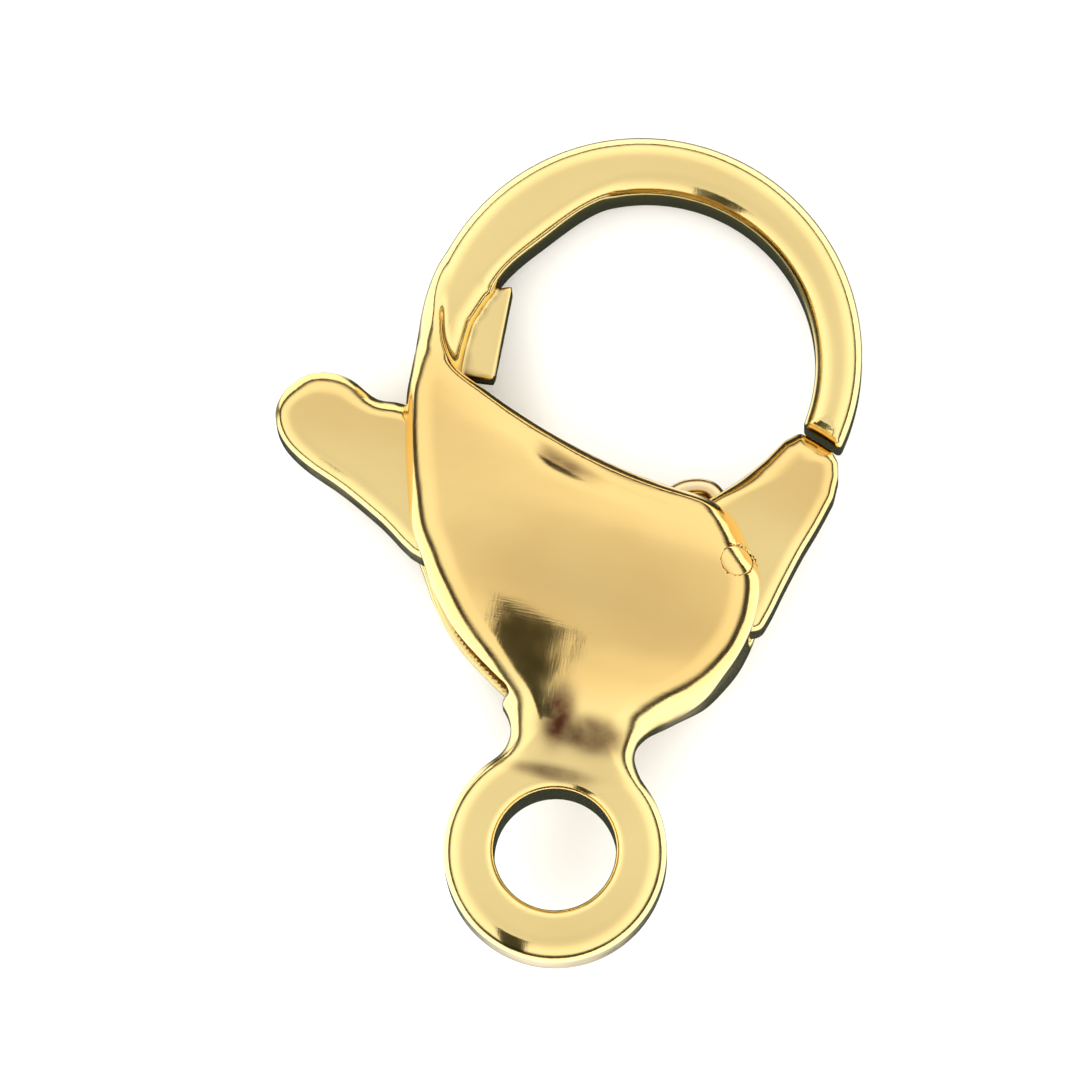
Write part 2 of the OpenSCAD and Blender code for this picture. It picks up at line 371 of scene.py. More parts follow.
def common(a, b, edge):
    """What two solids share, with a rounded edge where they meet."""
    u = np.maximum(edge + a, 0)
    v = np.maximum(edge + b, 0)
    return np.minimum(-edge, np.maximum(a, b)) + np.sqrt(u * u + v * v)


def ease(value, start, end):
    """Goes smoothly from 0 at the start to 1 at the end."""
    share = np.clip((value - start) / (end - start), 0, 1)
    return share * share * (3 - 2 * share)


def plate(plan, z, half, edge):
    """A flat plate of the given plan, with rounded edges."""
    return common(plan, np.abs(z) - half, edge)


def from_centre(x, y, centre):
    return np.hypot(x - centre[0], y - centre[1])


# Plans of the body and the gate

def fine_rows():
    return curve_through(ROWS, ROW_STEPS)


def sides_outline():
    """Outline of the pillow, run out past the mouth and along the hook's outer edge."""
    rows = fine_rows()
    past = 3 * rows[-1] - 2 * rows[-1 - ROW_STEPS]
    left = np.column_stack([rows[:, X_LEFT] * BODY_W, rows[:, Y_LEFT] * REACH])
    right = np.column_stack([rows[:, X_RIGHT] * BODY_W, rows[:, Y_RIGHT] * REACH])
    along_hook = HOOK_C + HOOK_D / 2 * np.column_stack([np.cos(HOOK_SIDE), np.sin(HOOK_SIDE)])
    past_right = [past[X_RIGHT] * BODY_W, past[Y_RIGHT] * REACH]
    return np.vstack([left, along_hook, [past_right], right[::-1]])


def mouth_outline():
    """Outline of all that lies below the mouth's edge, the tongue with it."""
    last = ROWS[-1]
    left = np.array([last[X_LEFT] * BODY_W, last[Y_LEFT] * REACH])
    right = np.array([last[X_RIGHT] * BODY_W, last[Y_RIGHT] * REACH])
    s = np.linspace(*MOUTH_SPAN, 9)[:, None]
    edge = left + (right - left) * s
    edge[:, 1] -= 4 * last[SAG] * REACH * (s * (1 - s))[:, 0]
    edge = curve_through(np.vstack([CREASE, edge, MOUTH_CORNER]), 5)
    return np.vstack([edge, BELOW_MOUTH])


def dip_depth(points, s):
    """Depth of the shallow groove at plan points, which lie at shares s across the body."""
    depth = ease(s, *DIP_START) * sum(most * ease(s, *fade) for most, fade in DIP_PARTS)
    return np.exp(-((outline_distance(points, mouth_outline()) + DIP_IN) / DIP_WIDTH) ** 2) * depth


def pillow_height(points):
    """Half thickness of the body over the plan, before its shoulders are rounded."""
    rows = fine_rows()
    x, y = points[:, :1] / BODY_W, points[:, 1:] / REACH
    s = np.clip((x - rows[:, X_LEFT]) / (rows[:, X_RIGHT] - rows[:, X_LEFT]), 0, 1)
    rise = rows[:, Y_RIGHT] - rows[:, Y_LEFT]
    row_y = rows[:, Y_LEFT] + rise * s - 4 * rows[:, SAG] * s * (1 - s)
    above = np.clip((row_y < y).sum(axis=1), 1, len(rows) - 1)
    at = np.arange(len(points))
    low, high = row_y[at, above - 1], row_y[at, above]
    share = np.clip((y[:, 0] - low) / np.maximum(high - low, 1e-9), 0, 1)
    row = rows[above - 1] + (rows[above] - rows[above - 1]) * share[:, None]
    s = s[at, above - 1] + (s[at, above] - s[at, above - 1]) * share
    rim = (METAL_T + row[:, RIM] * (RIM_T - METAL_T)) / 2
    dome = 1 - np.abs(2 * s ** row[:, LEAN] - 1) ** CROWN
    end_share = END_SHARE * ease(row[:, Y_LEFT], *END_SHARE_FROM)
    dome = end_share + (1 - end_share) * dome
    height = rim + row[:, CREST] * (BODY_T / 2 - rim) * dome - dip_depth(points, s)
    sunk = ease(points[:, 1], TONGUE_START * rows[-1, Y_LEFT] * REACH, TONGUE_END)
    return height + (TONGUE_SINK * METAL_T / 2 - height) * sunk


def gate_outline():
    tip = NOSE_REACH * np.column_stack([np.cos(TIP_ANGLES), np.sin(TIP_ANGLES)])
    bends = np.vstack([NOSE[2:] * NOSE_REACH, TAB * TAB_REACH, NOSE_INSIDE[:-1] * NOSE_REACH])
    inside = NOSE_INSIDE[-1:] * NOSE_REACH
    return np.vstack([tip, NOSE[:2] * NOSE_REACH, curve_through(bends, 4), inside])


gate_map = PlanMap(
    *GATE_PLAN, MAP_STEP,
    [
        lambda p: outline_distance(p, gate_outline()),
        lambda p: outline_distance(p, GROOVE * NOSE_REACH),
        lambda p: outline_distance(p, HOLLOW * TAB_REACH),
    ],
)


def swept_slot(points):
    """Distance to the slot: all places of the gate over its travel, and the spring's room."""
    room = outline_distance(points, ROOM * [BODY_W, REACH])
    for angle in np.radians(np.linspace(0, TRAVEL, SWEEP_STEPS)):
        c, s = math.cos(angle), math.sin(angle)
        back = (points - PIVOT) @ np.array([[c, -s], [s, c]])
        room = np.minimum(room, gate_map.read(back)[0] - SLOT_GAP)
    return room


body_map = PlanMap(
    *BODY_PLAN, MAP_STEP,
    [
        lambda p: outline_distance(p, sides_outline()),
        pillow_height,
        swept_slot,
        lambda p: outline_distance(p, RIB),
        lambda p: outline_distance(p, RIB_POCKET),
        lambda p: outline_distance(p, mouth_outline()),
    ],
)
# Numbers of the layers that are read on their own
SIDES, HEIGHT, POCKET, MOUTH = 0, 1, 4, 5
slope = np.gradient(body_map.layers[HEIGHT], MAP_STEP)
body_map.layers.append(np.sqrt(1 + slope[0] ** 2 + slope[1] ** 2))


# Fields of the body and the gate

def hook_plan(x, y, pocket):
    """Distance to the hook's plan. The opening has one straight stretch at the upper left."""
    along = (CHORD_TO - CHORD_FROM) / np.linalg.norm(CHORD_TO - CHORD_FROM)
    chord = -(x - CHORD_FROM[0]) * along[1] + (y - CHORD_FROM[1]) * along[0]
    opening = common(from_centre(x, y, OPENING_C) - OPENING_D / 2, chord, OPENING_CORNER)
    opening = np.minimum(opening, pocket)
    band = np.maximum(from_centre(x, y, HOOK_C) - HOOK_D / 2, -opening)
    return common(band, NOSE_REACH + NOSE_GAP - from_centre(x, y, PIVOT), HOOK_END_EDGE)


def body_skin(plan, x, y, z):
    """The body without the pin's bore."""
    sides, height, slot_plan, rib_plan, pocket, mouth, steepness = plan
    pillow = common(sides, (np.abs(z) - height) / steepness, SHOULDER_R)
    pillow = common(pillow, mouth, MOUTH_R)
    hook = plate(hook_plan(x, y, pocket), z, METAL_T / 2, HOOK_EDGE)
    ring = plate(from_centre(x, y, (0, 0)) - RING_D / 2, z, METAL_T / 2, RING_EDGE)
    rib = plate(rib_plan, z, RIB_T / 2, RIB_EDGE)
    slot = plate(slot_plan, z, SLOT_T / 2, SLOT_CORNER)
    solid = join(pillow, hook, HOOK_FILLET)
    solid = join(solid, ring, RING_FILLET)
    solid = join(solid, rib, RIB_FILLET)
    solid = common(solid, -slot, SLOT_EDGE)
    return common(solid, RING_HOLE_D / 2 - from_centre(x, y, (0, 0)), HOLE_EDGE)


def body_field(plan, x, y, z):
    bore = PIN_D / 2 + PIN_FIT - from_centre(x, y, PIVOT)
    return common(body_skin(plan, x, y, z), bore, PIN_FIT)


def gate_field(plan, x, y, z):
    """The gate about its pivot."""
    gate_plan, groove_plan, hollow_plan = plan
    solid = plate(gate_plan, z, GATE_T / 2, GATE_EDGE)
    a, b = NOSE_INSIDE[1] * NOSE_REACH, NOSE_INSIDE[3] * NOSE_REACH
    along = (b - a) / np.linalg.norm(b - a)
    inward = (x - a[0]) * along[1] - (y - a[1]) * along[0]
    beside = ease(inward, *BEVEL_ACROSS) * ease(y, *BEVEL_ALONG)
    bevel = (np.abs(z) - GATE_T / 2) * BEVEL_Z + gate_plan * BEVEL_IN - BEVEL_OFF + BEVEL_DEPTH * beside
    solid = common(solid, bevel, BEVEL_EDGE)
    groove = np.maximum(groove_plan, np.abs(z) - GROOVE_T / 2)
    solid = common(solid, -groove, GROOVE_EDGE)
    hollow = np.maximum(hollow_plan, z + GATE_T / 2 - HOLLOW_DEPTH)
    solid = common(solid, -hollow, HOLLOW_EDGE)
    return common(solid, PIN_D / 2 + PIN_PLAY - np.hypot(x, y), BORE_EDGE)


# Meshes from fields

CORNERS = np.array([(i, j, k) for i in (0, 1) for j in (0, 1) for k in (0, 1)])
CELL_EDGES = [
    (a, b)
    for a in range(8)
    for b in range(a + 1, 8)
    if np.abs(CORNERS[a] - CORNERS[b]).sum() == 1
]


def net(values, low, step):
    """Points and quads of the surface where a grid of values is zero."""
    inside = values < 0
    shape = np.array(values.shape) - 1
    corner_in = [
        inside[i:i + shape[0], j:j + shape[1], k:k + shape[2]] for i, j, k in CORNERS
    ]
    total = sum(c.astype(np.int8) for c in corner_in)
    cells = np.argwhere((total > 0) & (total < 8))
    number = np.full(shape, -1)
    number[tuple(cells.T)] = np.arange(len(cells))
    corner = [values[tuple((cells + c).T)] for c in CORNERS]
    place = np.zeros((len(cells), 3))
    hits = np.zeros(len(cells))
    for a, b in CELL_EDGES:
        crossed = (corner[a] < 0) != (corner[b] < 0)
        share = np.where(crossed, corner[a] / np.where(crossed, corner[a] - corner[b], 1), 0)
        on_edge = CORNERS[a] + share[:, None] * (CORNERS[b] - CORNERS[a])
        place += on_edge * crossed[:, None]
        hits += crossed
    points = low + step * (cells + place / hits[:, None])
    quads = []
    for axis, (side_a, side_b) in enumerate([(1, 2), (2, 0), (0, 1)]):
        ahead, back_a, back_b = np.eye(3, dtype=int)[[axis, side_a, side_b]]
        end = values.shape - ahead
        first = inside[:end[0], :end[1], :end[2]]
        second = inside[ahead[0]:, ahead[1]:, ahead[2]:]
        edges = np.argwhere(first != second)
        ring = [edges - back_a - back_b, edges - back_b, edges, edges - back_a]
        quad = np.column_stack([number[tuple(cell.T)] for cell in ring])
        out = first[tuple(edges.T)]
        quads.append(np.where(out[:, None], quad, quad[:, ::-1]))
    return points, np.vstack(quads)


def slope_of(field, points, reach):
    """Gradient of a field at points."""
    out = np.zeros_like(points)
    for i in range(3):
        step = np.zeros(3)
        step[i] = reach
        out[:, i] = (field(points + step) - field(points - step)) / (2 * reach)
    return out


def mesh_of_field(plan_map, field, low, high, step):
    """Points, normals and quads of a field's surface, with the points drawn onto it."""
    low, high = np.array(low, float), np.array(high, float)
    count = np.ceil((high - low) / step).astype(int) + 1
    x, y, z = (low[i] + step * np.arange(count[i]) for i in range(3))
    grid = np.stack(np.meshgrid(x, y, indexing="ij"), axis=-1)
    layers = plan_map.read(grid.reshape(-1, 2))
    layers = [layer.reshape(count[0], count[1], 1).astype(np.float32) for layer in layers]
    wide = grid.astype(np.float32)
    values = field(layers, wide[..., 0:1], wide[..., 1:2], z.astype(np.float32)[None, None, :])
    points, quads = net(values, low, step)

    def at(p):
        return field(plan_map.read(p[:, :2]), p[:, 0], p[:, 1], p[:, 2])

    for _ in range(3):
        gradient = slope_of(at, points, SLOPE_REACH * step)
        size = np.maximum(np.einsum("ij,ij->i", gradient, gradient), 0.1)
        move = -(at(points) / size)[:, None] * gradient
        far = np.maximum(np.linalg.norm(move, axis=1) / (MOVE_MOST * step), 1)
        points = points + move / far[:, None]
    normals = slope_of(at, points, SLOPE_REACH * step)
    normals /= np.maximum(np.linalg.norm(normals, axis=1), 1e-9)[:, None]
    return points, normals, quads, at


def neighbour_mean(values, pairs, count):
    total = np.bincount(pairs[:, 0], values[pairs[:, 1]], count)
    return total / np.maximum(np.bincount(pairs[:, 0], minlength=count), 1)


def surface_traits(points, normals, quads, at):
    """How much each point stands on a worn edge, and how deep it lies in a crevice."""
    pairs = np.vstack([quads[:, [i, (i + 1) % 4]] for i in range(4)])
    pairs = np.vstack([pairs, pairs[:, ::-1]])
    apart = points[pairs[:, 0]] - points[pairs[:, 1]]
    turned = normals[pairs[:, 0]] - normals[pairs[:, 1]]
    bend = (apart * turned).sum(axis=1) / np.maximum((apart ** 2).sum(axis=1), 1e-6)
    count = len(points)
    curve = np.bincount(pairs[:, 0], bend, count) / np.maximum(
        np.bincount(pairs[:, 0], minlength=count), 1
    )
    for _ in range(2):
        curve = neighbour_mean(curve, pairs, count)
    wear = np.clip((curve - WEAR_FROM) / WEAR_SPAN, 0, 1)
    # This crevice depth drives the painted shade in the material.
    depth = np.zeros(count)
    for away in CREVICE_PROBES:
        depth += 1 - np.clip(at(points + normals * away) / away, 0, 1)
    return wear, depth / len(CREVICE_PROBES)


def link_object(name, data):
    made = bpy.data.objects.new(name, data)
    bpy.context.scene.collection.objects.link(made)
    return made


def shade_smooth(mesh):
    mesh.polygons.foreach_set("use_smooth", np.ones(len(mesh.polygons), bool))


def add_quads(name, points, quads, normals):
    """A smooth piece of quads with its own normals, all given in the flat frame."""
    mesh = bpy.data.meshes.new(name)
    mesh.vertices.add(len(points))
    mesh.vertices.foreach_set("co", to_frame(points).astype(np.float32).ravel())
    mesh.loops.add(quads.size)
    mesh.loops.foreach_set("vertex_index", quads.astype(np.int32).ravel())
    mesh.polygons.add(len(quads))
    mesh.polygons.foreach_set("loop_start", np.arange(0, quads.size, 4, dtype=np.int32))
    mesh.update(calc_edges=True)
    mesh.validate()
    shade_smooth(mesh)
    mesh.normals_split_custom_set_from_vertices(to_frame(normals) / MM)
    return link_object(name, mesh)


def add_faces(name, points, faces):
    """A smooth piece of any faces, with its points given in the flat frame."""
    mesh = bpy.data.meshes.new(name)
    mesh.from_pydata(to_frame(points).tolist(), [], faces)
    shade_smooth(mesh)
    return link_object(name, mesh)


def add_trait(piece, name, values):
    layer = piece.data.attributes.new(name, "FLOAT", "POINT")
    layer.data.foreach_set("value", values.astype(np.float32))


# Materials

def rgb(red, green, blue):
    return (red, green, blue, 1.0)


def node(tree, kind, **values):
    made = tree.nodes.new(kind)
    for key, value in values.items():
        setattr(made, key, value)
    return made


def plug(tree, value, socket):
    """A link where the value is a socket, or else the value itself."""
    if isinstance(value, bpy.types.NodeSocket):
        tree.links.new(value, socket)
    else:
        socket.default_value = value


def noise(tree, source, scale, detail, roughness=0.5):
    made = node(tree, "ShaderNodeTexNoise")
    made.inputs["Scale"].default_value = scale
    made.inputs["Detail"].default_value = detail
    made.inputs["Roughness"].default_value = roughness
    tree.links.new(source, made.inputs["Vector"])
    return made.outputs["Fac"]


def remap(tree, source, span, onto):
    """Takes a span of values onto another, and holds what lies outside at its ends."""
    made = node(tree, "ShaderNodeMapRange")
    tree.links.new(source, made.inputs["Value"])
    for key, value in zip(("From Min", "From Max", "To Min", "To Max"), (*span, *onto)):
        made.inputs[key].default_value = value
    return made.outputs["Result"]


def mix_colours(tree, share, first, second):
    made = node(tree, "ShaderNodeMix", data_type="RGBA")
    for socket, value in ((made.inputs[0], share), (made.inputs[6], first), (made.inputs[7], second)):
        plug(tree, value, socket)
    return made.outputs[2]


def combine(tree, operation, first, second):
    made = node(tree, "ShaderNodeMath", operation=operation)
    for socket, value in zip(made.inputs, (first, second)):
        plug(tree, value, socket)
    return made.outputs[0]


def trait(tree, name):
    return node(tree, "ShaderNodeAttribute", attribute_name=name).outputs["Fac"]


def scaled_place(tree, scale):
    """Place on the piece in millimetres, times a scale along each axis."""
    place = node(tree, "ShaderNodeTexCoord")
    mapping = node(tree, "ShaderNodeMapping")
    mapping.inputs["Scale"].default_value = [value / MM for value in scale]
    tree.links.new(place.outputs["Object"], mapping.inputs["Vector"])
    return mapping.outputs["Vector"]


def metal_colour(tree, place, crevice_shade_and_dirt, bright, deep, shade_and_oxide_colour):
    """Drifts at random between the bright and the deep colour, goes deeper with the painted shade share,
    and takes the dark colour where there is painted crevice shade with dirt, or painted dark reflection
    and shade with some oxide.
    """
    drift = remap(tree, noise(tree, place, scale=0.35, detail=2), (0.35, 0.65), (0, 1))
    drift = combine(tree, "MULTIPLY", drift, 0.35)
    # Painted shade: the deep colour is painted over the body's thick part, the nose and the pin.
    share = combine(tree, "ADD", drift, combine(tree, "MULTIPLY", trait(tree, "painted_shade_share"), 0.65))
    colour = mix_colours(tree, share, bright, deep)
    colour = mix_colours(tree, crevice_shade_and_dirt, colour, shade_and_oxide_colour)
    blotch = remap(tree, noise(tree, place, scale=2.2, detail=3), (0.3, 0.7), (0.7, 1.15))
    # Painted dark reflection and shade, with some oxide: the dark colour in the neck's valley, above the
    # ring's hole and along the shallow groove.
    return mix_colours(tree, combine(tree, "MULTIPLY", trait(tree, "painted_shade_and_oxide"), blotch), colour, shade_and_oxide_colour)


def metal_roughness(tree, place, crevice_shade_and_dirt, roughness):
    """Uneven polish, smoother on worn edges and rougher in the dirt of crevices."""
    polish = noise(tree, place, scale=1.6, detail=5, roughness=0.6)
    rough = remap(tree, polish, (0.3, 0.7), (roughness * 0.75, roughness * 1.5))
    rough = combine(tree, "ADD", rough, remap(tree, trait(tree, "wear"), (0, 1), (0, -0.25 * roughness)))
    return combine(tree, "ADD", rough, remap(tree, crevice_shade_and_dirt, (0, 1), (0, 0.22)))


def metal_relief(tree, place):
    """Slow waves of the hand-polished skin, and hairlines that cross, in millimetres."""
    waves = noise(tree, place, scale=1.3, detail=2)
    hairs = noise(tree, scaled_place(tree, (3, 40, 9)), scale=1.0, detail=3)
    crossing = noise(tree, scaled_place(tree, (34, 4, 7)), scale=1.0, detail=3)
    height = combine(
        tree, "ADD", remap(tree, waves, (0, 1), (0, 0.009)), remap(tree, hairs, (0.3, 0.7), (0, 0.0003))
    )
    return combine(tree, "ADD", height, remap(tree, crossing, (0.3, 0.7), (0, 0.0002)))


def metal(name, bright, deep, shade_and_oxide_colour, roughness):
    """Polished plated metal."""
    material = bpy.data.materials.new(name)
    material.use_nodes = True
    tree = material.node_tree
    shader = tree.nodes["Principled BSDF"]
    shader.inputs["Metallic"].default_value = 1.0
    place = scaled_place(tree, (1, 1, 1))
    patches = remap(tree, noise(tree, place, scale=3.0, detail=4), (0.3, 0.7), (0.6, 1.2))
    # Painted shade with dirt: the colour darkens in crevices, where shade falls, and the surface grows
    # rougher there.
    crevice_shade_and_dirt = combine(tree, "MULTIPLY", trait(tree, "crevice"), patches)
    crevice_shade_and_dirt = remap(tree, crevice_shade_and_dirt, (0.2, 0.7), (0, 0.8))
    colour = metal_colour(tree, place, crevice_shade_and_dirt, bright, deep, shade_and_oxide_colour)
    tree.links.new(colour, shader.inputs["Base Color"])
    tree.links.new(metal_roughness(tree, place, crevice_shade_and_dirt, roughness), shader.inputs["Roughness"])
    bump = node(tree, "ShaderNodeBump")
    bump.inputs["Strength"].default_value = 1.0
    bump.inputs["Distance"].default_value = MM
    tree.links.new(metal_relief(tree, place), bump.inputs["Height"])
    tree.links.new(bump.outputs["Normal"], shader.inputs["Normal"])
    return material


gold = metal("gold", rgb(0.98, 0.77, 0.34), rgb(0.82, 0.56, 0.21), rgb(0.10, 0.032, 0.015), 0.11)
wire_gold = metal("wire_gold", rgb(0.93, 0.72, 0.42), rgb(0.86, 0.62, 0.34), rgb(0.3, 0.17, 0.07), 0.16)


# Body and gate

def cast_piece(name, plan_map, field, box, step, tints, mend_normals=None, shift=(0, 0, 0)):
    """A piece with a field's surface and the traits that its material reads."""
    points, normals, quads, at = mesh_of_field(plan_map, field, *box, step)
    wear, depth = surface_traits(points, normals, quads, at)
    if mend_normals:
        mend_normals(points, normals)
    piece = add_quads(name, points + np.array(shift), quads, normals)
    for key, values in {"wear": wear, "crevice": depth, **tints(points)}.items():
        add_trait(piece, key, values)
    return piece


def body_tints(points):
    """Painted dark reflection and shade, with some oxide, in its spots and in the shallow groove, and
    painted shade that deepens the colour of the thick part.
    """
    x, y, z = points.T
    painted_shade_and_oxide = np.zeros(len(points))
    for (at_x, at_y), (wide, high), most in PAINTED_SHADE_AND_OXIDE_SPOTS:
        spot = most * np.exp(-(((x - at_x) / wide) ** 2 + ((y - at_y) / high) ** 2) ** 2)
        painted_shade_and_oxide = 1 - (1 - painted_shade_and_oxide) * (1 - spot)
    painted_shade_and_oxide *= ease(np.abs(z), METAL_T / 4, METAL_T / 2)
    mouth = body_map.read(points[:, :2])[MOUTH]
    # Painted shade along the shallow groove, below the mouth's edge.
    dip_shade = np.exp(-((mouth + DIP_IN) / DIP_PAINTED_SHADE_WIDTH) ** 2)
    dip_shade = dip_shade * ease(x, *DIP_PAINTED_SHADE_FROM) * ease(x, *DIP_PAINTED_SHADE_TO)
    outside = np.abs(z) > SLOT_T
    painted_shade_and_oxide = np.maximum(painted_shade_and_oxide, DIP_PAINTED_SHADE * dip_shade * outside)
    return {"painted_shade_share": ease(np.abs(z), *BODY_PAINTED_SHADE), "painted_shade_and_oxide": painted_shade_and_oxide}


def mend_round_pin(points, normals):
    """Turns the normals round the pin's bore so that the skin runs on smoothly to the flush pin."""
    def skin(p):
        return body_skin(body_map.read(p[:, :2]), p[:, 0], p[:, 1], p[:, 2])

    near = from_centre(points[:, 0], points[:, 1], PIVOT) < PIN_D / 2 + PIN_ROUND
    near &= np.abs(skin(points)) < PIN_ROUND_OFF
    near &= np.abs(points[:, 2]) > SLOT_T / 2 + PIN_ROUND_ABOVE
    turned = slope_of(skin, points[near], SLOPE_REACH * BODY_STEP)
    normals[near] = turned / np.linalg.norm(turned, axis=1)[:, None]


def gate_tints(points):
    """Painted shade: the nose is painted deeper than the tab."""
    return {"painted_shade_share": TAB_PAINTED_SHADE + NOSE_PAINTED_SHADE * ease(points[:, 1], *NOSE_PAINTED_SHADE_FROM)}


body = cast_piece(
    "clasp_body", body_map, body_field, BODY_BOX, BODY_STEP, body_tints, mend_round_pin,
)
body.data.materials.append(gold)
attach(body, "body")
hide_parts("body")

gate = cast_piece(
    "clasp_gate", gate_map, gate_field, GATE_BOX, GATE_STEP, gate_tints, shift=(*PIVOT, 0),
)
gate.data.materials.append(gold)
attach(gate, "gate")
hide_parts("gate")


# Pin

def skin_height(points):
    """Height of the body's front skin over plan points, found by halving."""
    layers = body_map.read(points)
    low, high = np.full(len(points), SKIN_FROM), np.full(len(points), BODY_T)
    for _ in range(HALVINGS):
        middle = (low + high) / 2
        within = body_skin(layers, points[:, 0], points[:, 1], middle) < 0
        low, high = np.where(within, middle, low), np.where(within, high, middle)
    return low


def make_pin():
    """The pivot pin, with slightly domed ends that follow the body's skin."""
    angle = 2 * math.pi * np.arange(PIN_SIDES) / PIN_SIDES
    turn = np.column_stack([np.cos(angle), np.sin(angle)])
    rings = []
    for share, drop in PIN_RINGS:
        plan = PIVOT + turn * share * PIN_D / 2
        rings.append(np.column_stack([plan, skin_height(plan) + PIN_PROUD - drop]))
    front = [rings[0][:1]] + rings[1:]
    back = [ring * [1, 1, -1] for ring in reversed(front)]
    points = np.vstack(front + back)
    starts = np.cumsum([0] + [len(ring) for ring in front + back])
    faces = []
    for k in range(len(front) + len(back) - 1):
        a, b = starts[k], starts[k + 1]
        wide_a, wide_b = starts[k + 1] - a > 1, starts[k + 2] - b > 1
        for i in range(PIN_SIDES):
            j = (i + 1) % PIN_SIDES
            if wide_a and wide_b:
                faces.append((a + i, b + i, b + j, a + j))
            elif wide_b:
                faces.append((a, b + i, b + j))
            else:
                faces.append((a + i, b, a + j))
    piece = add_faces("clasp_pin", points, faces)
    # The pin takes the body's painted shade.
    add_trait(piece, "painted_shade_share", np.full(len(points), PIN_PAINTED_SHADE))
    return piece


pin = make_pin()
pin.data.materials.append(gold)
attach(pin, "body")
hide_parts("pivot_pin")


# Spring

def make_spring():
    """The bent wire, with round ends. Also gives the two ends of its line."""
    wire_l = PIVOT[0] - ROOM[0][0] * BODY_W - WALL_GAP
    path = curve_through(WIRE * [wire_l, NOSE_REACH], 10) + PIVOT
    path = np.column_stack([path, np.zeros(len(path))])
    ahead = np.gradient(path, axis=0)
    ahead /= np.linalg.norm(ahead, axis=1)[:, None]
    past = WIRE_D / 2 * (1 - np.sin(WIRE_ENDS))[:, None]
    centres = np.vstack([path[0] + past * ahead[0], path[1:-1], path[-1] - past[::-1] * ahead[-1]])
    ends = len(WIRE_ENDS)
    ahead = np.vstack([[ahead[0]] * ends, ahead[1:-1], [ahead[-1]] * ends])
    taper = np.cos(WIRE_ENDS)
    radius = WIRE_D / 2 * np.concatenate([taper, np.ones(len(path) - 2), taper[::-1]])
    side = np.column_stack([-ahead[:, 1], ahead[:, 0], np.zeros(len(ahead))])
    angle = 2 * math.pi * np.arange(WIRE_SIDES) / WIRE_SIDES
    points = np.vstack([
        middle + r * (np.cos(angle)[:, None] * across + np.sin(angle)[:, None] * [0, 0, 1])
        for middle, r, across in zip(centres, radius, side)
    ])
    faces = []
    for start in range(0, len(points) - WIRE_SIDES, WIRE_SIDES):
        for i in range(WIRE_SIDES):
            a, b = start + i, start + (i + 1) % WIRE_SIDES
            faces.append((a, b, b + WIRE_SIDES, a + WIRE_SIDES))
    faces.append(tuple(range(WIRE_SIDES))[::-1])
    faces.append(tuple(range(len(points) - WIRE_SIDES, len(points))))
    return add_faces("clasp_spring", points, faces), to_frame(path[[0, -1]])


spring, spring_ends = make_spring()
spring.data.materials.append(wire_gold)
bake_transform(spring)
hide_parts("spring")


# Floor and cards

# The floor that the metal mirrors: how far past the clasp it reaches, its cells, its lift off the floor,
# and the distance from the metal over which its painted shade ends. Within the hook, the side towards
# SHADE_SIDE is painted in shade too, from SHADE_SIDE_FROM off the centre.
SHEET_PAST = 8 * MM
SHEET_CELLS = (120, 140)
SHEET_LIFT = 0.01 * MM
SHADE_ENDS = (0.45, 1.2)
SHADE_SIDE = math.radians(118)
SHADE_SIDE_FROM = 0.75


def stage_material(name, colour):
    material = bpy.data.materials.new(name)
    material.use_nodes = True
    shader = material.node_tree.nodes["Principled BSDF"]
    shader.inputs["Base Color"].default_value = colour
    shader.inputs["Roughness"].default_value = 1.0
    return material


def facing(place, target, axis, up):
    return (Vector(target) - Vector(place)).to_track_quat(axis, up)


def card(name, place, size, target, colour, roll=0.0):
    """A flat card that faces a point."""
    mesh = bpy.data.meshes.new(name)
    w, h = size[0] / 2, size[1] / 2
    mesh.from_pydata([(-w, -h, 0), (w, -h, 0), (w, h, 0), (-w, h, 0)], [], [(0, 1, 2, 3)])
    made = link_object(name, mesh)
    made.location = place
    made.rotation_mode = "QUATERNION"
    turn = facing(place, target, "Z", "Y").to_matrix()
    made.rotation_quaternion = (turn @ Matrix.Rotation(math.radians(roll), 3, "Z")).to_quaternion()
    mesh.materials.append(stage_material(name, colour))
    return made


